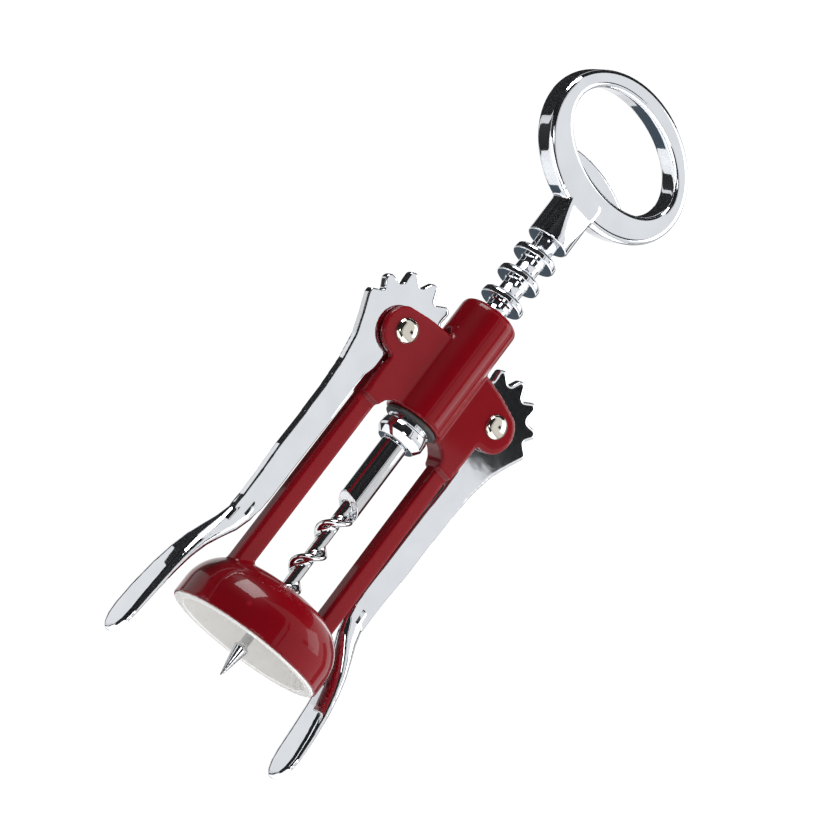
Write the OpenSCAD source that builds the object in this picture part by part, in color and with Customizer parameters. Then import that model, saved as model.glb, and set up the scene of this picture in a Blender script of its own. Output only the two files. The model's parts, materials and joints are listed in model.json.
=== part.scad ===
// Lever corkscrew: an enamelled frame with a bell foot, two geared levers,
// a ringed rack spindle, an auger worm and a ring handle with a cap lifter.
// Millimetres. +Z runs up the spindle, the levers swing in the XZ plane,
// the front is -Y and the origin is the centre of the bell's rim.

/* [Bell] */
// Outer radius of the bell
bell_r = 20; // [18:0.5:23]
// Height of the bell
bell_h = 15.3; // [14.8:0.1:17]
// Thickness of the bell's metal wall
bell_wall = 1.6; // [1.2:0.1:2]
// Thickness of the plastic liner
liner_wall = 1.3; // [1:0.1:1.6]
// Radius of the hole that the worm passes through
worm_hole_r = 4.6; // [4.2:0.1:5]

/* [Frame] */
// Distance of each leg from the spindle axis
leg_x = 14.4; // [14:0.1:14.8]
// Diameter of a leg
leg_d = 4.4; // [3.6:0.1:4.8]
// Outer radius of the barrel
barrel_r = 7.6; // [7.2:0.1:8.4]
// Radius of the barrel's bore
bore_r = 5.85; // [5.8:0.05:6]
// Height of the barrel's top
barrel_top = 98.9; // [98:0.1:102]
// Height of the frame's underside round the spindle
head_base = 66.2; // [65.5:0.1:67]
// Thickness of the frame's head, front to back
head_t = 6.4; // [6:0.2:7.2]
// Radius of the ears round the pivots
ear_r = 6.2; // [5.9:0.1:6.8]

/* [Gearing] */
// Distance of each pivot from the spindle axis
pivot_x = 17.9; // [17.8:0.1:18.2]
// Height of the pivots
pivot_z = 79.6; // [79:0.2:80.4]
// Spacing of the rings on the rack
ring_pitch = 6.79; // [6.7:0.01:6.85]
// Teeth that a full turn of a lever's gear would have
gear_teeth = 12; // [12:12]
// Radius of the tips of the lever teeth
tooth_tip_r = 13.6; // [13.4:0.1:14.1]
// Radius at the bottom of the lever teeth
tooth_root_r = 10.6; // [10:0.1:10.8]
// Radius of the rings on the rack
ring_r = 5.6; // [5.4:0.05:5.6]
// Thickness of a ring at its rim
ring_t = 1.7; // [1.4:0.1:1.8]
// Radius of the rack's core between its rings
core_r = 2.95; // [2.6:0.05:2.95]
// Radius of the rivets that the levers turn on
rivet_r = 2; // [1.6:0.1:2.2]
// Radius of the domed rivet heads
rivet_head_r = 3.9; // [3.4:0.1:4.2]

/* [Levers] */
// Thickness of the flat part of a lever
lever_t = 2.4; // [2:0.1:2.6]
// Width of the thumb paddle, front to back
paddle_w = 9.8; // [9:0.1:12]
// Height of the paddles' lowest point
paddle_z = -18; // [-20:0.5:-16]
// Angle both levers hang to the left at rest, within the play of the teeth
wing_lean = 0.7; // [-0.7:0.1:0.7]

/* [Worm] */
// Radius of the worm and its shank
worm_r = 3.4; // [3:0.1:3.6]
// Height gained by the worm in one turn
worm_pitch = 10.1; // [8:0.1:11]
// Height at which the worm's thread starts
thread_top = 40; // [38:0.5:44]
// How far the worm's point stands below the rim
tip_drop = 8.8; // [6:0.2:11]

/* [Handle] */
// Half the outer width of the ring
ring_half_w = 24.2; // [22:0.1:26]
// Half the width of the finger hole
hole_half_w = 19.3; // [17:0.1:19.6]
// Height of the ring's top
ring_top = 168.4; // [164:0.1:168.5]
// Height of the ring's underside
ring_low = 131.8; // [131:0.1:133]
// Thickness of the ring, front to back
ring_depth = 6.8; // [6:0.2:8]
// Radius of the handle's neck
neck_r = 5.65; // [5.4:0.05:5.7]
// How far the ring's middle stands in front of the spindle axis
ring_set = 0.4; // [0:0.1:1]
// Angle that the ring leans to the right on its neck
ring_lean = 1.2; // [-3:0.1:3]
// Height of the neck's lower end
neck_z = 122; // [121.5:0.5:123]

/* [Hidden] */

enamel = "firebrick";
chrome = "lightsteelblue";
nickel = "wheat";
eps = 0.01;
fine = 96;

// Bell and liner
bell_corner = 10.6;
liner_r = bell_r - bell_wall;
seat_r = liner_r - liner_wall;
lip_r = bell_r - 0.6;
lip_h = 0.8;

// Frame head
head_side_x = leg_x + leg_d / 2;
ear_z = pivot_z - 0.6;
slot_t = lever_t + 0.6;
slot_r = tooth_tip_r + 0.5;
barrel_round = 2;
arch_z = 62.2;

// Gearing: the rings sit half a pitch above and below the pivots, so a tooth
// pointing straight at the spindle stands between two of them at rest
first_ring = -1;
last_ring = 5;
pivot_play = 0.06;
tooth_step = 360 / gear_teeth;
tooth_count = 6;
tip_half_w = 1.15;
root_half_w = 2.3;

// Stack under the rack: shoulder, washer, collar, worm shank
face_gap = 0.1;
washer_t = 0.9;
washer_r = 6.8;
collar_r = 6.1;
collar_len = 5.7;
washer_top = head_base - face_gap;
collar_top = washer_top - washer_t - face_gap;
collar_low = collar_top - collar_len;
shank_top = collar_low - face_gap;
shoulder_top = washer_top + face_gap + 4;
core_play = 0.07;

// Joints between spindle, worm and handle
stud_r = 1.7;
stud_len = 6;
top_stud_r = 2.6;
top_stud_len = 8.6;
pin_r = 0.75;
worm_pin_z = shank_top + 3;
handle_pin_z = neck_z + 3.2;

// Worm
auger_core_r = 1.6;
auger_lobe_r = 1.5;
point_r = 1.5;
thread_low = -tip_drop + 8.4;
thread_angle = 148 + 360 * (thread_low - 32.8) / worm_pitch;

// Handle
neck_flat = 7.8;
lean_z = neck_z + 6;
hole_low = 140.4;
hole_top = 163.4;
lifter_top = 145.4;
lifter_half_w = 14;
lifter_bend = 36;
lifter_y = 0.8;
lifter_t = 2.2;

// Half an outline of the bell, from its rim at height low to its flat top
function dome(r, h, corner, low = 0) =
    [[0, low], [r, low], for (a = [0:6:90]) [r - corner + corner * cos(a), h - corner + corner * sin(a)], [0, h]];

function oval(half_w, low, high) =
    [for (a = [0:6:354]) [half_w * cos(a), (low + high) / 2 + (high - low) / 2 * sin(a)]];

// Lays an outline drawn in X and Z flat in the XZ plane, t thick about y
module slab(t, y = 0) {
    translate([0, y + t / 2, 0]) rotate([90, 0, 0]) linear_extrude(t) children();
}

module y_pin(x, z, r, t) {
    translate([x, t / 2, z]) rotate([90, 0, 0]) cylinder(r = r, h = t, $fn = fine);
}

module both_sides() {
    children();
    mirror([1, 0, 0]) children();
}

// Frame ---------------------------------------------------------------

module bell_shell() {
    rotate_extrude($fn = fine) polygon(dome(bell_r, bell_h, bell_corner));
}

module bell_cavity() {
    rotate_extrude($fn = fine) polygon(dome(liner_r, bell_h - bell_wall, bell_corner - bell_wall, -1));
}

module leg() {
    translate([leg_x, 0, bell_h - 5]) cylinder(d = leg_d, h = arch_z - bell_h + 8, $fn = 48);
}

// Outline of half the head: ear, shoulder, top edge and the arch between the legs
module head_half() {
    translate([pivot_x + 0.2, ear_z]) circle(r = ear_r, $fn = fine);
    polygon([[0, head_base], [7.4, head_base], [9.4, head_base - 0.7], [11, head_base - 2],
             [12.2, arch_z], [head_side_x, arch_z - 1], [head_side_x + 0.3, 69.5],
             [head_side_x + 1.6, ear_z - ear_r + 0.2], [pivot_x + 1.2, ear_z + ear_r - 0.1],
             [barrel_r - 1, ear_z + ear_r + 1.2], [0, ear_z + ear_r + 1.2]]);
}

module barrel() {
    straight = barrel_top - barrel_round;
    rotate_extrude($fn = fine) polygon([
        [0, head_base], [barrel_r, head_base],
        for (a = [0:15:90]) [barrel_r - barrel_round + barrel_round * cos(a), straight + barrel_round * sin(a)],
        [0, barrel_top]]);
}

module frame_casting() {
    color(enamel) difference() {
        union() {
            bell_shell();
            both_sides() leg();
            slab(head_t) both_sides() head_half();
            barrel();
        }
        bell_cavity();
        translate([0, 0, -1]) cylinder(r = lip_r, h = lip_h + 1, $fn = fine);
        translate([0, 0, bell_h - 4]) cylinder(r = worm_hole_r, h = 8, $fn = fine);
        translate([0, 0, head_base - 4]) cylinder(r = bore_r, h = barrel_top, $fn = fine);
        both_sides() {
            y_pin(pivot_x, pivot_z, slot_r, slot_t);
            y_pin(pivot_x, pivot_z, rivet_r, head_t + 2);
            translate([pivot_x, -slot_t / 2, pivot_z - slot_r]) cube([20, slot_t, 2 * slot_r]);
        }
    }
}

module bell_liner() {
    color("ivory") difference() {
        union() {
            rotate_extrude($fn = fine) polygon(dome(liner_r, bell_h - bell_wall, bell_corner - bell_wall));
            cylinder(r = lip_r, h = lip_h, $fn = fine);
        }
        rotate_extrude($fn = fine)
            polygon(dome(seat_r, bell_h - bell_wall - liner_wall, bell_corner - bell_wall - liner_wall, -1));
        cylinder(r = worm_hole_r, h = bell_h, $fn = fine);
    }
}

// A shaft through both ears, a domed head in front and a flatter tail behind
module rivet() {
    half = head_t / 2;
    translate([pivot_x, 0, pivot_z]) rotate([90, 0, 0]) rotate_extrude($fn = fine) polygon([
        [0, -half - 1], [2.2, -half - 0.8], [3.1, -half], [rivet_r, -half],
        [rivet_r, half], [rivet_head_r, half], [rivet_head_r, half + 0.25],
        for (a = [20:14:90]) [rivet_head_r * cos(a), half - 0.2 + 1.5 * sin(a)]]);
}

// Levers --------------------------------------------------------------

module tooth() {
    polygon([[tooth_root_r - 1, -root_half_w - 0.3], [tooth_root_r, -root_half_w],
             [tooth_tip_r - 0.8, -tip_half_w - 0.2], [tooth_tip_r, -tip_half_w + 0.4],
             [tooth_tip_r, tip_half_w - 0.4], [tooth_tip_r - 0.8, tip_half_w + 0.2],
             [tooth_root_r, root_half_w], [tooth_root_r - 1, root_half_w + 0.3]]);
}

// Lever outline about its pivot, with X pointing away from the spindle
module lever_plate() {
    circle(r = tooth_root_r, $fn = fine);
    for (i = [0:tooth_count - 1]) rotate(180 - i * tooth_step) tooth();
    polygon([[-1.2, -10.4], [0.1, -14], [0.3, -19.3], [0, -27], [-0.2, -51], [-0.1, -55], [1.2, -59.2],
             [4.2, -63.9], [6.7, -69.1], [8.9, -79], [11.4, -78], [10.5, -72.1], [9.6, -67.9], [7.8, -63.7],
             [6.4, -59.7], [6.1, -54.4], [6.3, -48], [6.8, -40], [6.8, -32], [7.1, -22.6], [7.7, -15.4],
             [9, -8.9], [11.2, -3.8], [13.4, 0.7], [13, 2], [9.5, 3], [0, 4]]);
}

// Side view of the thumb paddle: a strip that leans outwards
module paddle_strip() {
    low = paddle_z - pivot_z;
    polygon([[4, -60], [5.2, -66], [7.4, -72], [8.9, -79], [9.8, -86], [10.3, -92], [10.4, low],
             [12.2, low], [12.1, -92], [12, -86], [11.4, -78], [10.6, -72], [9.2, -66], [7.4, -60]]);
}

module paddle_outline() {
    end_z = paddle_z - pivot_z + paddle_w / 2;
    half = paddle_w / 2;
    translate([0, end_z]) circle(r = half, $fn = 48);
    polygon([[-half, end_z], [-half, -86], [-half + 0.4, -79], [-3.3, -69], [-1.9, -60], [-lever_t / 2, -56],
             [lever_t / 2, -56], [1.9, -60], [3.3, -69], [half - 0.4, -79], [half, -86], [half, end_z]]);
}

// Right lever; a positive lean swings its paddle towards the bell
module lever(lean) {
    translate([pivot_x, 0, pivot_z]) rotate([0, lean, 0]) difference() {
        union() {
            slab(lever_t) lever_plate();
            intersection() {
                slab(paddle_w + 2) paddle_strip();
                rotate([90, 0, 90]) linear_extrude(20) paddle_outline();
            }
        }
        y_pin(0, 0, rivet_r + pivot_play, lever_t + 2);
    }
}

// Spindle, worm and handle -------------------------------------------

module thrust_washer() {
    color("dimgray") translate([0, 0, washer_top - washer_t]) difference() {
        cylinder(r = washer_r, h = washer_t, $fn = fine);
        translate([0, 0, -1]) cylinder(r = core_r + core_play, h = washer_t + 2, $fn = fine);
    }
}

module stop_collar() {
    c = 1.2;
    color(chrome) translate([0, 0, collar_low]) rotate_extrude($fn = fine) polygon([
        [core_r + core_play, 0], [collar_r - c, 0], [collar_r, c], [collar_r, collar_len - 0.4],
        [collar_r - 0.4, collar_len], [core_r + core_play, collar_len]]);
}

// One ring of the rack, thin at its rim and filleted into the core
module rack_ring() {
    rotate_extrude($fn = fine) polygon([
        [0, -1.5], [core_r - 0.05, -1.5], [core_r + 0.5, -0.95], [ring_r - 0.4, -ring_t / 2],
        [ring_r, -ring_t / 2 + 0.4], [ring_r, ring_t / 2 - 0.4], [ring_r - 0.4, ring_t / 2],
        [core_r + 0.5, 0.95], [core_r - 0.05, 1.5], [0, 1.5]]);
}

module rack_spindle() {
    color(chrome) difference() {
        union() {
            translate([0, 0, shank_top]) cylinder(r = core_r, h = neck_z - shank_top, $fn = fine);
            translate([0, 0, washer_top + face_gap])
                cylinder(r = ring_r, h = shoulder_top - washer_top - face_gap, $fn = fine);
            for (k = [first_ring:last_ring]) translate([0, 0, pivot_z + (k + 0.5) * ring_pitch]) rack_ring();
            translate([0, 0, neck_z - eps]) cylinder(r = top_stud_r, h = top_stud_len + eps, $fn = fine);
        }
        translate([0, 0, shank_top - eps]) cylinder(r = stud_r, h = stud_len + eps, $fn = fine);
        translate([-core_r - 1, 0, worm_pin_z]) rotate([0, 90, 0]) cylinder(r = pin_r, h = 2 * core_r + 2, $fn = 32);
        y_pin(0, handle_pin_z, pin_r, 2 * neck_r);
    }
}

// Shank, auger thread and point. The thread is a round lobe carried round the core.
module worm() {
    thread_h = thread_top - thread_low;
    color(chrome) difference() {
        union() {
            translate([0, 0, shank_top - eps]) cylinder(r = stud_r, h = stud_len, $fn = fine);
            translate([0, 0, thread_top - 0.5]) cylinder(r = worm_r, h = shank_top - thread_top + 0.5, $fn = fine);
            translate([0, 0, thread_low]) rotate([0, 0, thread_angle])
                linear_extrude(thread_h, twist = -360 * thread_h / worm_pitch, slices = 48) {
                    circle(r = auger_core_r, $fn = 16);
                    translate([worm_r - auger_lobe_r, 0]) circle(r = auger_lobe_r, $fn = 16);
                }
            translate([0, 0, -tip_drop]) cylinder(r1 = 0.15, r2 = point_r, h = thread_low + tip_drop + 1, $fn = 32);
        }
        translate([-core_r - 1, 0, worm_pin_z]) rotate([0, 90, 0]) cylinder(r = pin_r, h = 2 * core_r + 2, $fn = 32);
    }
}

module worm_pin() {
    color(chrome) translate([-core_r + 0.05, 0, worm_pin_z]) rotate([0, 90, 0])
        cylinder(r = pin_r, h = 2 * core_r - 0.1, $fn = 32);
}

// Leans the ring and its hole about the neck, and sets them forward
module ring_place() {
    translate([0, -ring_set, lean_z]) rotate([0, ring_lean, 0]) translate([0, 0, -lean_z]) children();
}

// Two slanted faces that narrow the neck from its round end to the ring's thickness
module neck_sides() {
    half = neck_flat / 2;
    rotate([90, 0, 90]) translate([0, 0, -10]) linear_extrude(20) polygon([
        [-neck_r - 0.1, neck_z - 1], [neck_r + 0.1, neck_z - 1], [neck_r + 0.1, neck_z + 1], [half, ring_low + 1],
        [half, hole_low + 1], [-half, hole_low + 1], [-half, ring_low + 1], [-neck_r - 0.1, neck_z + 1]]);
}

module handle() {
    color(chrome) difference() {
        union() {
            ring_place() {
                slab(ring_depth - 2) polygon(oval(ring_half_w, ring_low, ring_top));
                slab(ring_depth) polygon(oval(ring_half_w - 0.9, ring_low + 0.9, ring_top - 0.9));
            }
            intersection() {
                translate([0, 0, neck_z]) cylinder(r = neck_r, h = ring_low - neck_z + 5, $fn = fine);
                neck_sides();
            }
        }
        difference() {
            ring_place() {
                slab(4 * ring_depth) polygon(oval(hole_half_w, hole_low, hole_top));
                both_faces() slab(2, -ring_depth / 2 - 0.2)
                    polygon(oval(hole_half_w + 0.9, hole_low - 0.9, hole_top + 0.9));
            }
            ring_place() slab(lifter_t, lifter_y + lifter_t / 2) lifter_outline();
        }
        translate([0, 0, neck_z - eps]) cylinder(r = top_stud_r, h = top_stud_len + eps, $fn = fine);
        y_pin(0, handle_pin_z, pin_r, 2 * neck_r + 2);
    }
}

module both_faces() {
    children();
    mirror([0, 1, 0]) children();
}

// The tongue that hooks under a crown cap: a shallow arch on the hole's lower edge
module lifter_outline() {
    intersection() {
        translate([0, lifter_top - lifter_bend]) circle(r = lifter_bend, $fn = 2 * fine);
        translate([-lifter_half_w, hole_low - 2]) square([2 * lifter_half_w, lifter_top - hole_low + 3]);
    }
}

module handle_pin() {
    color(chrome) y_pin(0, handle_pin_z, pin_r, 2 * neck_r - 1.2);
}

module left_rivet() { color(nickel) mirror([1, 0, 0]) rivet(); }
module right_rivet() { color(nickel) rivet(); }
module left_lever() { color(chrome) mirror([1, 0, 0]) lever(-wing_lean); }
module right_lever() { color(chrome) lever(wing_lean); }

frame_casting();
bell_liner();
left_rivet();
right_rivet();
left_lever();
right_lever();
thrust_washer();
stop_collar();
rack_spindle();
worm();
worm_pin();
handle();
handle_pin();
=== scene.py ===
# %% [markdown]
# # A lever corkscrew, piece by piece
# The imported model gives every size and place, so the first step is to load it.

# %% Load the frame
import json
from math import asin, cos, degrees, pi, radians, sin

import bpy
from mathutils import Matrix, Vector


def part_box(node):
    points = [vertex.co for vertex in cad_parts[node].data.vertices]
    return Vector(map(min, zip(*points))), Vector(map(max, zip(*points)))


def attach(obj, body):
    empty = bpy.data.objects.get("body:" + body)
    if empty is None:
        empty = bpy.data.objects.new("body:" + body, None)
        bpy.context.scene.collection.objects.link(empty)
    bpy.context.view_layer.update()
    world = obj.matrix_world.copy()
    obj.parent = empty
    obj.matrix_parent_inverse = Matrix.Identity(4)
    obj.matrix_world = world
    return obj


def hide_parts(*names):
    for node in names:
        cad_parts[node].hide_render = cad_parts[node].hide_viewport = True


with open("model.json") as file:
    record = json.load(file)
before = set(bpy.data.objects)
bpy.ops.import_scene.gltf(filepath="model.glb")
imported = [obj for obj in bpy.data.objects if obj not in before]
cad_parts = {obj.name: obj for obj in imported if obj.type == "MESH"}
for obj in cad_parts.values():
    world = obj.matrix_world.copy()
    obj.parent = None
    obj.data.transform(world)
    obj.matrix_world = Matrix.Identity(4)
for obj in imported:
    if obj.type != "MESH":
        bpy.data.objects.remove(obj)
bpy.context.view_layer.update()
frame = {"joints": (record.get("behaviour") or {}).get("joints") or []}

MM = 0.001

# %% [markdown]
# ## Where things are
# The main sizes are read from the CAD nodes that fix them, in metres, with +Z up the
# spindle. The heights of the stack on the spindle are read too, in millimetres. Each
# later cell gives the smaller sizes of its own piece in millimetres.

# %% Places and sizes from the frame
frame_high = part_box("frame_casting")[1]
bell_r = frame_high.y
barrel_top = frame_high.z
pivot_x, _, pivot_z = next(j["pos_m"] for j in frame["joints"] if j["name"] == "right_lever_lift")
washer_low, washer_top = (corner.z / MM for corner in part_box("thrust_washer"))
collar_low, collar_top = (corner.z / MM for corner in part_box("stop_collar"))
shank_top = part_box("rack_spindle")[0].z / MM
neck_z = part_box("handle")[0].z / MM
print("bell radius %.1f mm, pivots at %.1f mm, %.1f mm up" % (bell_r / MM, pivot_x / MM, pivot_z / MM))

# %% [markdown]
# ## The camera
# A long lens looks up at the corkscrew from its left. The tool leans over in the
# picture because the camera is rolled, not because the tool is tilted.

# %% Camera
eye = Vector((-0.3075, -0.4921, -0.0948))
aim = Vector((-0.001, 0, 0.0679))
roll = radians(37.08)
lens = 111.8
camera_data = bpy.data.cameras.new("camera")
camera_data.lens = lens
camera_data.sensor_width = 36
camera_data.clip_start = 0.01
camera = bpy.data.objects.new("camera", camera_data)
bpy.context.scene.collection.objects.link(camera)
forward = (aim - eye).normalized()
level = forward.cross(Vector((0, 0, 1))).normalized()
upright = level.cross(forward)
right = cos(roll) * level + sin(roll) * upright
up = cos(roll) * upright - sin(roll) * level
camera.matrix_world = Matrix((right, up, -forward)).transposed().to_4x4()
camera.location = eye
bpy.context.scene.camera = camera
print("camera %.0f mm from the tool" % ((aim - eye).length / MM))

# %% [markdown]
# ## Working by hand, one step at a time
# Every piece below starts as one point or one simple shape. It is pulled out, spun,
# filled, cut and rounded with the same tools that a modeller uses by hand. These
# helpers keep each step short. `chain` draws a line of edges, `turned` spins a line
# round the spindle as a lathe would, and `plate` cuts a flat shape out of sheet.

# %% Selecting and editing
def only(*things):
    """Selects these objects alone, and makes the first one active."""
    bpy.ops.object.select_all(action="DESELECT")
    for thing in things:
        thing.select_set(True)
    bpy.context.view_layer.objects.active = things[0]
    return things[0]


def edit(piece):
    """Opens a piece in edit mode with everything selected."""
    only(piece)
    bpy.ops.object.mode_set(mode="EDIT")
    bpy.ops.mesh.select_mode(type="VERT")
    bpy.ops.mesh.select_all(action="SELECT")


def done(piece):
    """Closes seams, points all the faces outwards and leaves edit mode."""
    bpy.ops.mesh.select_all(action="SELECT")
    bpy.ops.mesh.remove_doubles(threshold=0.004 * MM)
    bpy.ops.mesh.normals_make_consistent(inside=False)
    bpy.ops.object.mode_set(mode="OBJECT")
    return piece


# %% Lines, arcs and ovals
def chain(name, points):
    """Draws a line of edges through points in millimetres, one pull at a time."""
    bpy.ops.object.select_all(action="DESELECT")
    bpy.ops.mesh.primitive_plane_add(size=2 * MM)
    piece = bpy.context.object
    piece.name = piece.data.name = name
    edit(piece)
    bpy.ops.mesh.merge(type="CENTER")
    here = Vector(points[0]) * MM
    bpy.ops.transform.translate(value=here)
    for point in points[1:]:
        there = Vector(point) * MM
        bpy.ops.mesh.extrude_region_move(TRANSFORM_OT_translate={"value": there - here})
        here = there
    return done(piece)


def arc(x, z, r, start, end, steps=6):
    """Points on part of a circle, with angles in degrees from +X towards +Z."""
    turns = [radians(start + (end - start) * i / steps) for i in range(steps + 1)]
    return [(x + r * cos(a), z + r * sin(a)) for a in turns]


def oval(half_w, low, high, steps=96):
    """A closed oval in the plane of the levers."""
    middle, half_h = (low + high) / 2, (high - low) / 2
    turns = [2 * pi * i / steps for i in range(steps + 1)]
    return [(half_w * cos(a), middle + half_h * sin(a)) for a in turns]


# %% Turning and cutting out
def turned(name, outline, steps=96):
    """Spins an outline of radius and height round the spindle's axis."""
    piece = chain(name, [(r, 0, z) for r, z in outline])
    edit(piece)
    bpy.ops.mesh.spin(steps=steps, angle=2 * pi, center=(0, 0, 0), axis=(0, 0, 1))
    done(piece)
    only(piece)
    bpy.ops.object.shade_smooth_by_angle(angle=radians(40))
    return piece


def plate(name, outline, front, back):
    """Fills a closed outline of X and Z and gives it thickness along Y."""
    piece = chain(name, [(x, front, z) for x, z in outline])
    edit(piece)
    bpy.ops.mesh.edge_face_add()
    bpy.ops.mesh.extrude_region_move(TRANSFORM_OT_translate={"value": (0, (back - front) * MM, 0)})
    return done(piece)


def bar(name, low, high, rounding):
    """A square bar between two corners, with all its edges rounded."""
    low, high = Vector(low) * MM, Vector(high) * MM
    bpy.ops.object.select_all(action="DESELECT")
    bpy.ops.mesh.primitive_cube_add(size=1)
    piece = bpy.context.object
    piece.name = piece.data.name = name
    edit(piece)
    bpy.ops.transform.resize(value=high - low)
    bpy.ops.transform.translate(value=(low + high) / 2)
    if rounding:
        bpy.ops.mesh.bevel(offset=rounding * MM, segments=4, affect="EDGES")
    return done(piece)


def quarter_turn(piece, axis):
    """Turns a piece by ninety degrees about one of the axes."""
    edit(piece)
    bpy.ops.transform.rotate(value=pi / 2, orient_axis=axis, center_override=(0, 0, 0))
    return done(piece)


def move(piece, x, y, z):
    """Slides all of a piece by millimetres."""
    edit(piece)
    bpy.ops.transform.translate(value=Vector((x, y, z)) * MM)
    return done(piece)


# %% Cutting, fusing and finishing
def use(piece, kind, **settings):
    """Adds a modifier with these settings, and applies it at once."""
    only(piece)
    modifier = piece.modifiers.new(kind.title(), kind)
    for key, value in settings.items():
        setattr(modifier, key, value)
    bpy.ops.object.modifier_apply(modifier=modifier.name)


def cut(piece, *tools):
    """Cuts each tool's shape out of a piece."""
    for tool in tools:
        use(piece, "BOOLEAN", operation="DIFFERENCE", solver="EXACT", object=tool)


def bin_it(*things):
    """Throws away pieces that were only cutting tools."""
    for thing in things:
        bpy.data.objects.remove(thing)


def fuse(name, parts, grain, passes):
    """Melts overlapping parts into one skin, and softens its edges as polishing does."""
    whole = only(*parts)
    if len(parts) > 1:
        bpy.ops.object.join()
    whole.name = whole.data.name = name
    use(whole, "REMESH", mode="VOXEL", voxel_size=grain * MM)
    use(whole, "SMOOTH", factor=0.5, iterations=passes)
    only(whole)
    bpy.ops.object.shade_smooth()
    print(name, "has", len(whole.data.polygons), "faces")
    return whole


def finish_piece(piece, body, node, material):
    """Hides the CAD piece that this one stands for, gives this one its finish and parents it to the body it
    moves with.
    """
    piece.data.materials.clear()
    piece.data.materials.append(material)
    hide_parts(node)
    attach(piece, body)
    print(piece.name, [round(d / MM, 1) for d in piece.dimensions], "mm, moves with", body)

# %% [markdown]
# ## The frame
# On the real object the frame is one zinc die casting with a thick coat of enamel. It is
# made here from a bell and a barrel turned on a lathe, two bars for the legs and a flat
# head. The slots for the lever teeth are cut before the parts are fused, so the fusing
# rounds every edge a little, and that is what the enamel does on the real casting.

# %% The bell and the barrel
bell_h = 15.3
bell_wall, liner_wall = 1.6, 1.3
hole_r = 4.6
corner = 10.6
rim_r = bell_r / MM
lip_seat = 0.85


def shell(outer, thick, top, bend):
    """A domed shell from its rim up, over to the hole in its top, and back inside."""
    return [(outer - 0.15, 0), (outer, 0.2),
            *arc(outer - bend, top - bend, bend, 0, 90, 16),
            (hole_r, top), (hole_r, top - thick),
            *arc(outer - bend, top - bend, bend - thick, 90, 0, 16),
            (outer - thick, lip_seat), (outer - 0.45, lip_seat), (outer - 0.45, 0.05), (outer - 0.15, 0)]


bell = turned("bell", shell(rim_r, bell_wall, bell_h, corner), steps=128)

bore_r, barrel_r = 5.85, 7.6
head_z = 66.2
top = barrel_top / MM
outer_round, inner_round = 1.6, 0.4
barrel = turned("barrel", [
    (bore_r, head_z), (barrel_r, head_z),
    *arc(barrel_r - outer_round, top - outer_round, outer_round, 0, 90, 6),
    *arc(bore_r + inner_round, top - inner_round, inner_round, 90, 180, 3), (bore_r, head_z)])
print("bell and barrel turned:", len(bell.data.polygons), len(barrel.data.polygons), "faces")

# %% The legs
leg_x, leg_half_w, leg_half_d = 14.25, 2.5, 2.2
leg_low, leg_high = bell_h - 4, 71
legs = []
for side in (-1, 1):
    low_corner = (side * leg_x - leg_half_w, -leg_half_d, leg_low)
    high_corner = (side * leg_x + leg_half_w, leg_half_d, leg_high)
    legs.append(bar("leg", low_corner, high_corner, 0.9))
print("each leg is", [round(d / MM, 1) for d in legs[0].dimensions], "mm")

# %% [markdown]
# The head is a flat plate as thick as the two pairs of ears. Its outline is drawn for the
# right half: from the arch over the worm, out along the leg, round the ear and back to
# the barrel. The left half is the same outline with X the other way round.

# %% The head and its ears
px, pz = pivot_x / MM, pivot_z / MM
ear_r = 6.1
head_half_t = 3.2
half_head = [(0, head_z), (7.4, head_z), (9.4, head_z - 0.7), (11, head_z - 2), (11.9, 62), (16.7, 62),
             (17, 69.5), *arc(px + 0.2, pz - 0.6, ear_r, -100, 62, 14),
             (14.5, pz + 6.4), (8.5, pz + 7.2), (0, pz + 7.2)]
heads = []
for side in (-1, 1):
    outline = [(side * x, z) for x, z in half_head + half_head[:1]]
    heads.append(plate("head", outline, -head_half_t, head_half_t))

slot_r, slot_half_t, mouth_reach = 14.1, 1.5, 22
discs, mouths = [], []
for side in (-1, 1):
    circle = [(side * px + x, pz + z) for x, z in arc(0, 0, slot_r, 0, 360, 64)]
    discs.append(plate("slot", circle, -slot_half_t, slot_half_t))
    near_x, far_x = sorted((side * px, side * (px + mouth_reach)))
    mouths.append(bar("mouth", (near_x, -slot_half_t, pz - slot_r), (far_x, slot_half_t, pz + slot_r), 0))
bore = turned("bore", [(0, 60), (bore_r, 60), (bore_r, top + 5), (0, top + 5)])
for head in heads:
    cut(head, discs[0], mouths[0], discs[1], mouths[1], bore)
cut(barrel, *discs)
bin_it(*discs, *mouths, bore)

# %% One casting
casting = fuse("frame_casting_skin", [bell, barrel, *legs, *heads], 0.42, 5)

# %% [markdown]
# ## The bell's liner
# A cream plastic moulding is pressed into the bell, and it centres the bottle's mouth.
# It is a thinner shell just inside the bell, with a lip that covers most of the metal
# rim and stands level with it, so only a thin red line shows round the edge.

# %% Liner
seat = rim_r - bell_wall
liner_top = bell_h - bell_wall
lip_r, lip_top = rim_r - 0.5, 0.8
bend_x, bend_z, bend_r = seat - corner + bell_wall, liner_top - corner + bell_wall, corner - bell_wall
liner = turned("bell_liner_skin", [
    (seat - 1.25, 0.9), *arc(seat - 0.95, 0.35, 0.3, 180, 270, 4),
    *arc(lip_r - 0.25, 0.25, 0.24, 270, 360, 4), (lip_r, lip_top - 0.02), (seat - 0.05, lip_top),
    *arc(bend_x, bend_z, bend_r - 0.05, 4, 90, 14),
    (hole_r, liner_top - 0.05), (hole_r, liner_top - liner_wall),
    *arc(bend_x, bend_z, bend_r - liner_wall, 90, 0, 14), (seat - 1.25, 0.9)], steps=128)
print("liner faces:", len(liner.data.polygons))

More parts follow.
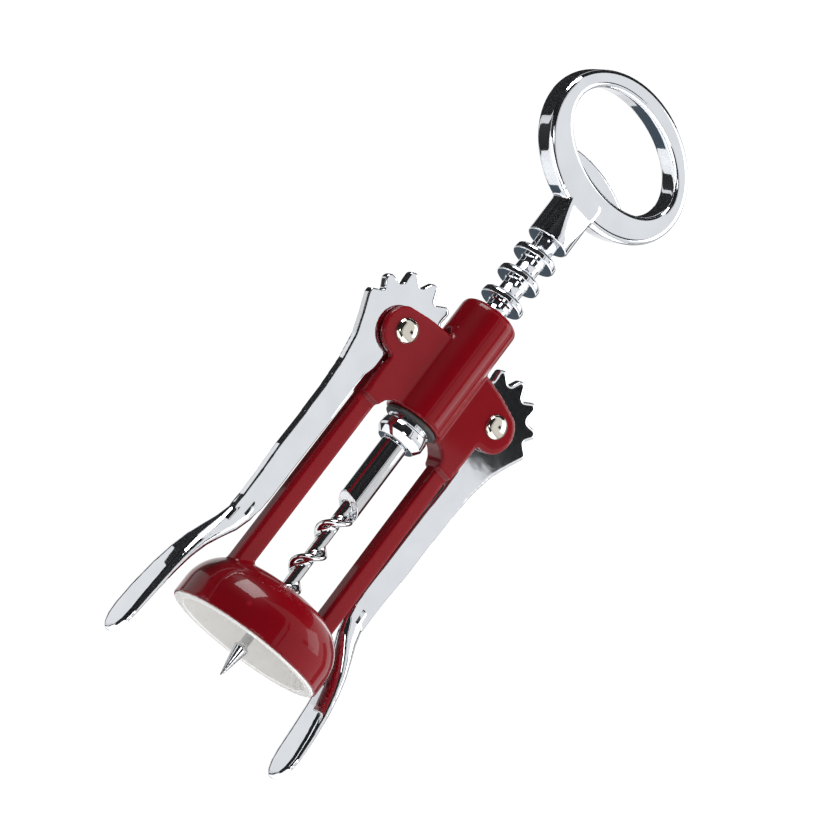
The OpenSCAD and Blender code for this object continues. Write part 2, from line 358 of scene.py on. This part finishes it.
# %% [markdown]
# ## The levers
# Each lever is cast, ground flat and chromed. A flat plate carries the gear teeth and
# the arm, and below the bell the arm twists out into a broad thumb paddle. The plate is
# drawn with X pointing away from the spindle and then moved to its pivot. The paddle is
# one section pulled out through several stations, wider and thinner at each one.

# %% The gear and the arm
tip_r, root_r = 13.6, 10.6
lever_half_t = 1.2
half_tooth = [(tip_r, 0.5), (13.3, 1.0), (12.6, 1.35), (root_r, 2.3)]
tooth = [(r, -y) for r, y in reversed(half_tooth)] + half_tooth


def toothed(first, last):
    """The gear's rim, with a tooth every thirty degrees between two angles."""
    points = []
    for turn in range(first, last - 1, -30):
        a = radians(turn)
        points += [(x * cos(a) - y * sin(a), x * sin(a) + y * cos(a)) for x, y in reversed(tooth)]
    return points


arm_outside = [(13.3, 1.4), (13.2, 0.2), (11.2, -3.8), (9, -8.9), (7.7, -15.4), (7.1, -22.6), (6.8, -32),
               (6.8, -40), (6.3, -48), (6.1, -54.4), (6.3, -58)]
arm_inside = [(0.9, -58), (-0.1, -54), (-0.2, -50), (0, -27), (0.3, -19.3), (0.1, -14), (-1.2, -10.8),
              (-5.5, -9.2)]
gear = [*toothed(180, 30), *arm_outside, *arm_inside, (-9.6, -4.4)]
flat = plate("gear plate", [(px + x, pz + z) for x, z in gear + gear[:1]],
             -lever_half_t, lever_half_t)

# %% [markdown]
# Each station gives the paddle's height, how far out it is, and its half thickness and
# half width there. The first one is inside the arm, and the last one is the thumb end.

# %% The paddle
stations = [(26, 20.9, 3.2, 1.2), (22, 21.1, 3.1, 1.5), (18, 22.3, 2.9, 2.2), (14.5, 24, 2.5, 2.9),
            (10.5, 25.8, 2.1, 3.5), (6, 27.1, 1.8, 4.0), (1, 28, 1.6, 4.5), (-6, 28.75, 1.4, 4.85),
            (-11.5, 29.1, 1.2, 4.85), (-14.5, 29.2, 1.1, 4.3), (-16.6, 29.2, 1.0, 3.1),
            (-17.7, 29.2, 0.8, 1.7), (-18, 29.2, 0.5, 0.9)]
squareness = 0.85


def rounded(value, power):
    """Pushes a sine or cosine outwards, which squares up the circle it draws."""
    return abs(value) ** power * (1 if value > 0 else -1)


z, x, half_x, half_y = stations[0]
turns = [2 * pi * (i + 0.5) / 32 for i in range(33)]
paddle = chain("paddle", [(x + half_x * rounded(cos(a), squareness), half_y * rounded(sin(a), squareness), z)
                          for a in turns])
edit(paddle)
bpy.ops.mesh.edge_face_add()
for next_z, next_x, next_half_x, next_half_y in stations[1:]:
    step = Vector((next_x - x, 0, next_z - z)) * MM
    bpy.ops.mesh.extrude_region_move(TRANSFORM_OT_translate={"value": step})
    bpy.ops.transform.resize(value=(next_half_x / half_x, next_half_y / half_y, 1),
                             center_override=Vector((next_x, 0, next_z)) * MM)
    z, x, half_x, half_y = next_z, next_x, next_half_x, next_half_y
done(paddle)

pivot_hole = plate("pivot hole", [(px + x, pz + z) for x, z in arc(0, 0, 2.06, 0, 360, 32)], -3, 3)
cut(flat, pivot_hole)
bin_it(pivot_hole)
right_lever = fuse("right_lever_skin", [flat, paddle], 0.25, 6)

# %% [markdown]
# The left lever is a mirrored copy with a mesh of its own. At rest both levers hang a
# little to the left, within the play between the teeth and the rings, so each is turned
# by the same small angle about its own pivot.

# %% The left lever, and how both hang
only(right_lever)
bpy.ops.object.duplicate()
left_lever = bpy.context.object
left_lever.name = left_lever.data.name = "left_lever_skin"
edit(left_lever)
bpy.ops.transform.resize(value=(-1, 1, 1), center_override=(0, 0, 0))
done(left_lever)
hang = radians(-0.7)
for piece, side in ((right_lever, 1), (left_lever, -1)):
    edit(piece)
    bpy.ops.transform.rotate(value=hang, orient_axis="Y", center_override=(side * pivot_x, 0, pivot_z))
    done(piece)
    low = min((v.co for v in piece.data.vertices), key=lambda co: co.z)
    print(piece.name, "lowest point at", [round(c / MM, 1) for c in low])

# %% [markdown]
# ## The rivets
# Nickel-plated rivets hold the levers between the ears. They were set with a domed tool,
# so each has a low round head in front and a small flattened tail behind. A rivet is
# turned upright, laid down along Y and slid to its pivot.

# %% Rivets
dome_r, dome_h, ear_face = 3.9, 1.35, 3.35
tail = [(0, -4.3), (1.6, -4.25), (2.5, -4.0), (3.0, -3.6), (3.1, -3.2)]
stem = [(2, -3.2), (2, 3.2), (3.75, 3.2), (dome_r, ear_face)]
dome = [(dome_r * cos(radians(a)), ear_face + dome_h * sin(radians(a))) for a in range(10, 91, 10)]
rivets = []
for side in (-1, 1):
    rivet = turned("rivet", tail + stem + dome)
    quarter_turn(rivet, "X")
    move(rivet, side * px, 0, pz)
    rivet.name = rivet.data.name = "left_rivet_skin" if side < 0 else "right_rivet_skin"
    rivets.append(rivet)
    print(rivet.name, "from y", round(min(v.co.y for v in rivet.data.vertices) / MM, 2), "to",
          round(max(v.co.y for v in rivet.data.vertices) / MM, 2))

# %% [markdown]
# ## The rack spindle
# The spindle is turned from steel bar and chromed. The levers' teeth push on its rings,
# which are complete circles, so the spindle can turn while the levers lift it. Each ring
# is flat underneath and rounded above. The plain shoulder at the foot is inside the head.

# %% Spindle
core_r, ring_r, pitch = 2.95, 5.7, 6.79
foot = washer_top + 0.1
socket_r, socket_h, shoulder_h = 1.75, 6, 4
outline = [(0, shank_top + socket_h), (socket_r, shank_top + socket_h), (socket_r, shank_top),
           (core_r, shank_top), (core_r, foot), (ring_r - 0.3, foot), (ring_r, foot + 0.3),
           (ring_r, foot + shoulder_h - 0.3), (ring_r - 0.3, foot + shoulder_h)]
for k in range(-1, 6):
    middle = pz + (k + 0.5) * pitch
    outline += [(core_r + 0.02, middle - 1.3), (core_r + 0.25, middle - 1.05), (ring_r - 0.4, middle - 1.0),
                *arc(ring_r - 0.35, middle - 0.6, 0.4, -80, -10, 4),
                *arc(ring_r - 1.05, middle + 0.05, 1.15, 0, 75, 8),
                (core_r + 0.9, middle + 1.35), (core_r + 0.35, middle + 1.65), (core_r + 0.02, middle + 2.1)]
stud_r, stud_top = 2.6, neck_z + 8.5
outline += [(core_r, neck_z), (stud_r, neck_z), (stud_r, stud_top), (0, stud_top)]
outline = [(r, z) for r, z in outline if not (r < ring_r - 0.4 and foot < z < foot + shoulder_h - 0.1)]
spindle = turned("rack_spindle_skin", outline)
print("spindle faces:", len(spindle.data.polygons))

# %% [markdown]
# ## Collar and washer
# The collar is a short turned part with wide chamfers, and a dark fibre washer lies on
# it under the head. They stop the rack when the levers are right down.

# %% Collar and washer
inside_r, collar_r, washer_r = 3.02, 6.1, 6.8
collar = turned("stop_collar_skin", [
    (inside_r, collar_low), (4.6, collar_low), *arc(4.7, collar_low + 0.3, 0.3, -90, -40, 2),
    (collar_r - 0.15, collar_low + 1.5), (collar_r, collar_low + 1.75), (collar_r, collar_low + 3.9),
    (collar_r - 0.15, collar_low + 4.15), (5.2, collar_low + 4.7), (5.2, collar_low + 5.1),
    (5.6, collar_low + 5.35), (5.6, collar_top), (inside_r, collar_top), (inside_r, collar_low)])
washer = turned("thrust_washer_skin", [
    (inside_r, washer_low), (washer_r - 0.15, washer_low), (washer_r, washer_low + 0.15),
    (washer_r, washer_top - 0.15), (washer_r - 0.15, washer_top), (inside_r, washer_top),
    (inside_r, washer_low)])
print("collar and washer faces:", len(collar.data.polygons), len(washer.data.polygons))

# %% [markdown]
# ## The worm
# The worm is one ground steel auger. Its section is a round core with a round lobe on
# one side. That section is pulled down a little and turned a little, over and over,
# which is what a screw thread is. The plain shank above is turned, and so is the point.

# %% Thread
lobe_x, lobe_r, bare_r = 1.8, 1.6, 1.6
thread_top, thread_low, worm_pitch = 41.5, 4.4, 10.1
section = [(lobe_x + lobe_r * cos(radians(a)), lobe_r * sin(radians(a))) for a in range(-105, 106, 15)]
section += [(bare_r * cos(radians(a)), bare_r * sin(radians(a))) for a in range(105, 256, 15)]
start = radians(148 + 360 * (thread_top - 32.8) / worm_pitch)
thread = chain("thread", [(x * cos(start) - y * sin(start), x * sin(start) + y * cos(start), thread_top)
                          for x, y in section + section[:1]])
edit(thread)
bpy.ops.mesh.edge_face_add()
pulls, tapered_pulls = 120, 8
drop = (thread_top - thread_low) / pulls
turn = -2 * pi * drop / worm_pitch
for pull in range(pulls):
    bpy.ops.mesh.extrude_region_move(TRANSFORM_OT_translate={"value": (0, 0, -drop * MM)})
    bpy.ops.transform.rotate(value=-turn, orient_axis="Z", center_override=(0, 0, 0))
    if pull >= pulls - tapered_pulls:
        bpy.ops.transform.resize(value=(0.95, 0.95, 1), center_override=(0, 0, 0))
done(thread)
print("thread pulled through", round(360 * (thread_top - thread_low) / worm_pitch), "degrees")

# %% Shank and point
shank_r, shank_low, shank_cut = 3.4, 36.5, 40.6
worm_stud_r, worm_stud_top = 1.7, shank_top + 5.9
shank = turned("shank", [(0, shank_low), (shank_r, shank_low), (shank_r, shank_top - 0.3),
                         (shank_r - 0.3, shank_top), (worm_stud_r, shank_top),
                         (worm_stud_r, worm_stud_top), (0, worm_stud_top)])
edit(shank)
bpy.ops.mesh.bisect(plane_co=(0, 0, shank_cut * MM), plane_no=(-0.62, -0.1, -1),
                    use_fill=True, clear_outer=True)
done(shank)
point = turned("point", [(0, -8.8), (0.16, -8.72), (0.3, -8.3), (1.85, -0.75), (1.8, -0.4), (1.3, -0.1),
                         (1.15, 0.5), (1.15, 6), (0, 6)])
worm = fuse("worm_skin", [thread, shank, point], 0.17, 4)

# %% [markdown]
# ## The handle
# The handle is one chromed casting: a round neck that fits over the spindle's top, a
# ring for the finger, and a small tongue inside the ring that lifts crown caps. Two
# ovals are bridged into a flat ring and given depth, and every edge gets a soft bevel.

# %% Ring, neck and tongue
ring_half_w, ring_bottom, ring_crown = 24.2, 131.8, 168.4
hole_half_w, hole_bottom, hole_crown = 19.3, 140.4, 163.4
ring_depth, ring_set, ring_lean = 6.8, 0.4, 1.2
outer = chain("ring", [(x, -ring_depth / 2, z) for x, z in oval(ring_half_w, ring_bottom, ring_crown)])
inner = chain("hole", [(x, -ring_depth / 2, z) for x, z in oval(hole_half_w, hole_bottom, hole_crown)])
ring = only(outer, inner)
bpy.ops.object.join()
edit(ring)
bpy.ops.mesh.bridge_edge_loops()
bpy.ops.mesh.select_all(action="SELECT")
bpy.ops.mesh.extrude_region_move(TRANSFORM_OT_translate={"value": (0, ring_depth * MM, 0)})
bpy.ops.mesh.select_all(action="SELECT")
bpy.ops.mesh.normals_make_consistent(inside=False)
bpy.ops.mesh.select_all(action="DESELECT")
bpy.ops.mesh.edges_select_sharp(sharpness=radians(60))
bpy.ops.mesh.bevel(offset=1.25 * MM, segments=4, affect="EDGES")
done(ring)

reach, curve, tongue_top, tongue_root = 14, 36, 145.4, hole_bottom - 2
tongue_front, tongue_back = 0.8, 3
spread = degrees(asin(reach / curve))
crest = arc(0, tongue_top - curve, curve, 90 - spread, 90 + spread, 24)
tongue = plate("tongue", [*crest, (-reach, tongue_root), (reach, tongue_root), crest[0]],
               tongue_front, tongue_back)

# %% [markdown]
# The ring stands a little forward of the spindle and leans a little to the right on its
# neck. The neck is round at its foot, and two slanted faces narrow it towards the ring.

# %% Lean the ring, and make the neck
for piece in (ring, tongue):
    edit(piece)
    bpy.ops.transform.translate(value=(0, -ring_set * MM, 0))
    bpy.ops.transform.rotate(value=radians(-ring_lean), orient_axis="Y",
                             center_override=(0, 0, (neck_z + 6) * MM))
    done(piece)

neck_r, neck_bore_r, bore_top, neck_top = 5.65, 2.65, neck_z + 8.6, neck_z + 15
neck = turned("neck", [
    (neck_bore_r, neck_z), (neck_r - 0.25, neck_z), (neck_r, neck_z + 0.25), (neck_r, neck_top - 1),
    (5.3, neck_top), (0, neck_top), (0, bore_top), (neck_bore_r, bore_top), (neck_bore_r, neck_z)])
for front in (-1, 1):
    slant = [(neck_r + 0.05, neck_z + 1), (3.9, ring_bottom + 1), (3.9, 142), (9, 142), (9, neck_z + 1),
             (neck_r + 0.05, neck_z + 1)]
    wedge = plate("wedge", [(front * y, z) for y, z in slant], -8, 8)
    quarter_turn(wedge, "Z")
    cut(neck, wedge)
    bin_it(wedge)
handle = fuse("handle_skin", [ring, neck, tongue], 0.3, 5)

# %% [markdown]
# ## Two hidden pins
# A steel cross pin holds the worm's stud in the spindle, and another holds the handle's
# neck. Both are driven in and ground flush, so they barely show.

# %% Pins
pin_r, chamfer = 0.75, 0.2
pins = []
for name, axis, length, height in (("worm_pin_skin", "Y", 2 * core_r - 0.1, shank_top + 3),
                                   ("handle_pin_skin", "X", 10.1, neck_z + 3.2)):
    half = length / 2
    half_pin = [(pin_r, half - chamfer), (pin_r - chamfer, half), (0, half)]
    pin = turned(name, [(r, -z) for r, z in reversed(half_pin)] + half_pin, steps=32)
    quarter_turn(pin, axis)
    move(pin, 0, 0, height)
    pins.append(pin)
worm_pin, handle_pin = pins
print("pins:", [[round(d / MM, 1) for d in pin.dimensions] for pin in pins])

# %% [markdown]
# ## Mixing finishes
# A finish is a small recipe of nodes. `Wire` wraps one socket, so that adding and
# multiplying in a recipe reads like ordinary arithmetic. `Finish` starts a material,
# adds nodes to it and finally feeds the surface.

# %% Node helpers
class Wire:
    """One output socket that can be used in arithmetic."""

    def __init__(self, finish, socket):
        self.finish, self.socket = finish, socket

    def _maths(self, operation, first, second):
        return self.finish.add("ShaderNodeMath", {"operation": operation}, {0: first, 1: second})[0]

    def __add__(self, other):
        return self._maths("ADD", self, other)

    def __radd__(self, other):
        return self._maths("ADD", other, self)

    def __sub__(self, other):
        return self._maths("SUBTRACT", self, other)

    def __rsub__(self, other):
        return self._maths("SUBTRACT", other, self)

    def __mul__(self, other):
        return self._maths("MULTIPLY", self, other)

    def __rmul__(self, other):
        return self._maths("MULTIPLY", other, self)


class Finish:
    """A procedural material, built one node at a time."""

    def __init__(self, name):
        self.material = bpy.data.materials.new(name)
        self.material.use_nodes = True
        self.tree = self.material.node_tree
        self.tree.nodes.clear()
        self.place = self.add("ShaderNodeTexCoord")[3]

    def add(self, kind, settings={}, inputs={}):
        """Adds a node, and returns its outputs as wires."""
        node = self.tree.nodes.new(kind)
        for key, value in settings.items():
            setattr(node, key, value)
        for key, value in inputs.items():
            if isinstance(value, Wire):
                self.tree.links.new(value.socket, node.inputs[key])
            else:
                node.inputs[key].default_value = value
        return [Wire(self, socket) for socket in node.outputs]

    def noise(self, size_mm, detail=2.0):
        """Soft noise with features about this many millimetres wide, from 0 to 1."""
        settings = {"Vector": self.place, "Scale": 1 / (size_mm * MM), "Detail": detail}
        return self.add("ShaderNodeTexNoise", {}, settings)[0]

    def between(self, wire, low, high, to_low=0.0, to_high=1.0):
        """Stretches a range of a wire on to another range."""
        return self.add("ShaderNodeMapRange", {}, {0: wire, 1: low, 2: high, 3: to_low, 4: to_high})[0]

    def blend(self, factor, first, second):
        """Mixes two colours."""
        return self.add("ShaderNodeMix", {"data_type": "RGBA"}, {0: factor, 6: first, 7: second})[2]

    def edges(self):
        """High on outside edges, low in the hollows. It marks rubbed wear and thinner coats, and on the
        liner it marks a painted highlight.
        """
        return self.between(self.add("ShaderNodeNewGeometry")[7], 0.52, 0.62)

    def bump(self, height, strength, depth_mm):
        """Tilts the surface's normal as if it rose and fell with a wire."""
        settings = {"Height": height, "Strength": strength, "Distance": depth_mm * MM}
        return self.add("ShaderNodeBump", {}, settings)[0]

    def surface(self, **sockets):
        """Feeds the surface; underscores in the names stand for spaces."""
        inputs = {key.replace("_", " "): value for key, value in sockets.items()}
        shader = self.add("ShaderNodeBsdfPrincipled", {}, inputs)[0]
        self.add("ShaderNodeOutputMaterial", {}, {"Surface": shader})
        return self.material


# %% [markdown]
# The chrome is nearly a mirror. Very faint waves from polishing bend its reflections, a
# slight haze comes and goes, and the edges that get handled have fine wear.

# %% Plated metals
def plated(name, deep, bright, polish, waves):
    """A polished metal between two colours, with some roughness and faint waves."""
    f = Finish(name)
    haze, grain, edge = f.noise(6.0, 3.0), f.noise(0.35), f.edges()
    colour = f.blend(haze * 0.6 + edge * 0.3, deep, bright)
    rough = polish + haze * 0.035 + grain * 0.02 + edge * 0.05
    normal = f.bump(f.noise(3.5, 1.0) + grain * 0.04, waves, 0.05)
    return f.surface(Base_Color=colour, Metallic=1.0, Roughness=rough, Normal=normal)


chrome = plated("chrome", (0.66, 0.69, 0.73, 1), (0.86, 0.87, 0.89, 1), 0.02, 0.14)
nickel = plated("nickel", (0.56, 0.53, 0.46, 1), (0.80, 0.77, 0.69, 1), 0.05, 0.12)
worm_steel = plated("worm_steel", (0.50, 0.51, 0.53, 1), (0.78, 0.79, 0.80, 1), 0.05, 0.2)

# %% [markdown]
# The enamel is a thick glossy coat: deep crimson underneath with a clear shine on top.
# It lies thinner on edges, where it looks a little brighter, and it has the soft ripple
# and the few tiny pits that a dipped and baked coat has.

# %% Enamel, liner and fibre
f = Finish("enamel")
cloud, pits, edge = f.noise(9.0, 2.0), f.noise(0.5, 1.0), f.edges()
colour = f.blend(cloud, (0.086, 0.0006, 0.0024, 1), (0.110, 0.0010, 0.0038, 1))
colour = f.blend(edge * 0.5, colour, (0.20, 0.006, 0.012, 1))
enamel = f.surface(Base_Color=colour, Roughness=0.3 + cloud * 0.08, Specular_IOR_Level=0.05,
                   Coat_Weight=0.8 + cloud * 0.1, Coat_Roughness=0.05, Coat_IOR=1.28,
                   Normal=f.bump(f.noise(5.0, 1.0) + f.between(pits, 0.7, 0.8) * 0.15, 0.12, 0.06))

f = Finish("liner")
cloud, grain, edge = f.noise(7.0), f.noise(0.6), f.edges()
colour = f.blend(cloud, (0.56, 0.55, 0.535, 1), (0.62, 0.61, 0.595, 1))
# Painted highlight: the liner's outside edges, its lip among them, are painted lighter, as if they caught
# the light.
colour = f.blend(edge * 0.4, colour, (0.78, 0.77, 0.75, 1))
cream = f.surface(Base_Color=colour, Roughness=0.24 + grain * 0.1, Coat_Weight=0.3,
                  Normal=f.bump(grain, 0.08, 0.03))

f = Finish("washer_fibre")
weave, edge = f.noise(0.4, 4.0), f.edges()
colour = f.blend(weave * 0.7 + edge * 0.3, (0.010, 0.010, 0.011, 1), (0.045, 0.043, 0.042, 1))
fibre = f.surface(Base_Color=colour, Roughness=0.55 + weave * 0.25, Normal=f.bump(weave, 0.3, 0.04))
print("finishes:", [m.name for m in (chrome, nickel, worm_steel, enamel, cream, fibre)])

# %% [markdown]
# ## What moves with what
# Every visual piece takes the place of one CAD piece, rides on that piece's body and
# takes its finish, so the joints move the looks and the CAD together.

# %% Dress every piece
for piece, body, slot, node, material in (
        (casting, "frame", "enamel", "frame_casting", enamel),
        (liner, "frame", "liner", "bell_liner", cream),
        (rivets[0], "frame", "nickel", "left_rivet", nickel),
        (rivets[1], "frame", "nickel", "right_rivet", nickel),
        (left_lever, "left_wing", "chrome", "left_lever", chrome),
        (right_lever, "right_wing", "chrome", "right_lever", chrome),
        (washer, "thrust_stack", "washer_fibre", "thrust_washer", fibre),
        (collar, "thrust_stack", "chrome", "stop_collar", chrome),
        (spindle, "spindle", "chrome", "rack_spindle", chrome),
        (worm, "spindle", "worm_steel", "worm", worm_steel),
        (worm_pin, "spindle", "worm_steel", "worm_pin", worm_steel),
        (handle, "spindle", "chrome", "handle", chrome),
        (handle_pin, "spindle", "chrome", "handle_pin", chrome)):
    finish_piece(piece, body, node, material)

# %% [markdown]
# ## The studio
# Polished metal shows little but its surroundings, so the surroundings are the lighting.
# A white room gives the bright streaks, and black cards that the camera can't see give
# the dark ones. The room is a little brighter to the camera than to the metal. The boards
# on the floor throw no shade on it.

# %% Room and floor
world = bpy.data.worlds.new("white room")
bpy.context.scene.world = world
world.use_nodes = True
sky = world.node_tree.nodes["Background"]
sky.inputs["Color"].default_value = (1, 1, 1, 1)
seen = world.node_tree.nodes.new("ShaderNodeLightPath")
level_of_light = world.node_tree.nodes.new("ShaderNodeMapRange")
level_of_light.inputs["To Min"].default_value = 0.97
level_of_light.inputs["To Max"].default_value = 1.05
world.node_tree.links.new(seen.outputs["Is Camera Ray"], level_of_light.inputs["Value"])
world.node_tree.links.new(level_of_light.outputs["Result"], sky.inputs["Strength"])
bpy.context.scene.view_settings.view_transform = "Standard"


def card(name, corners, shade):
    """A flat card between four corners in metres, out of the picture."""
    bpy.ops.object.select_all(action="DESELECT")
    bpy.ops.mesh.primitive_plane_add(size=1)
    made = bpy.context.object
    made.name = name
    for vertex, place in zip(made.data.vertices, corners):
        vertex.co = Vector(place)
    f = Finish(name)
    cloud = f.noise(60.0)
    darker = [c * 0.94 for c in shade[:3]] + [1]
    colour = f.blend(cloud, shade, darker)
    made.data.materials.append(f.surface(Base_Color=colour, Roughness=0.8 + cloud * 0.1))
    return made


black = (0.004, 0.004, 0.005, 1)
floor_z, foot_z, board_z = -0.13, -0.129, -0.128
card("floor", [(-6, -6, floor_z), (6, -6, floor_z), (-6, 6, floor_z), (6, 6, floor_z)], (0.9, 0.9, 0.9, 1))


def ends(start, end, distance):
    """Where a card's two ends stand, from compass angles in degrees."""
    return [(distance * cos(a), distance * sin(a)) for a in (radians(start), radians(end))]


def wall(name, start, end, low, high, distance=0.9):
    """An upright black card that only reflections show."""
    foot_line = ends(start, end, distance)
    made = card(name, [(x, y, z) for z in (low, high) for x, y in foot_line], black)
    made.visible_camera = False


for start, end, low, high in ((96, 104, foot_z, 0.72), (99, 147, 0.29, 0.8), (147, 200, foot_z, 0.72),
                              (200, 266, foot_z, 0.72), (56, 112, 0.5, 1.0)):
    wall("dark wall " + str(start), start, end, low, high)
wall("near dark card", 98, 152, 0.095, 0.42, distance=0.32)
wall("dark card right of the front", 301, 325, 0.315, 0.43)
wall("dark strip right", 352, 364, foot_z, 0.7)
wall("dark strip behind", 22, 38, foot_z, 0.6)
wall("thin strip", 272, 275, foot_z, 0.7)


def floor_board(name, start, end, near, far, shade=black):
    """A board that lies on the floor and that only reflections show."""
    edges = ends(start, end, near) + ends(start, end, far)
    made = card(name, [(x, y, board_z) for x, y in edges], shade)
    made.visible_camera = made.visible_diffuse = made.visible_shadow = False


floor_board("grey board behind", 40, 78, 0.35, 1.1, (0.04, 0.06, 0.08, 1))
floor_board("dark board behind", 98, 152, 0.42, 1.0)
floor_board("dark board left", 160, 215, 0.3, 1.0)
floor_board("dark board front", 215, 285, 0.3, 1.0)
roof_sides, roof_z = (-0.6, 0.6), 0.95
roof = card("card overhead", [(x, y, roof_z) for y in roof_sides for x in roof_sides], black)
roof.visible_camera = False

# %% [markdown]
# The key light from the upper left makes the highlight on the bell. The fill lights the
# front without being mirrored, the sheen adds a faint shine at the right, and the low
# light reaches up into the bell.

# %% Soft lights
def window(name, place, target, width, height, power, mirrored=True):
    """A soft rectangular light that faces its target."""
    bpy.ops.object.light_add(type="AREA", location=place)
    lamp = bpy.context.object
    lamp.name = name
    lamp.data.shape = "RECTANGLE"
    lamp.data.size, lamp.data.size_y = width, height
    lamp.data.energy = power
    lamp.rotation_euler = (Vector(target) - Vector(place)).to_track_quat("-Z", "Y").to_euler()
    lamp.visible_camera, lamp.visible_glossy = False, mirrored


window("key", (-0.58, -0.12, 0.62), (0, 0, 0.02), 0.5, 0.42, 8)
window("fill", (0.50, -0.42, 0.36), (0, 0, 0.10), 0.5, 0.5, 10, mirrored=False)
window("sheen", (0.50, -0.36, 0.42), (0, 0, 0.10), 0.3, 0.4, 1)
window("low", (-0.22, -0.42, -0.11), (0, 0, 0.01), 0.15, 0.15, 0.35)
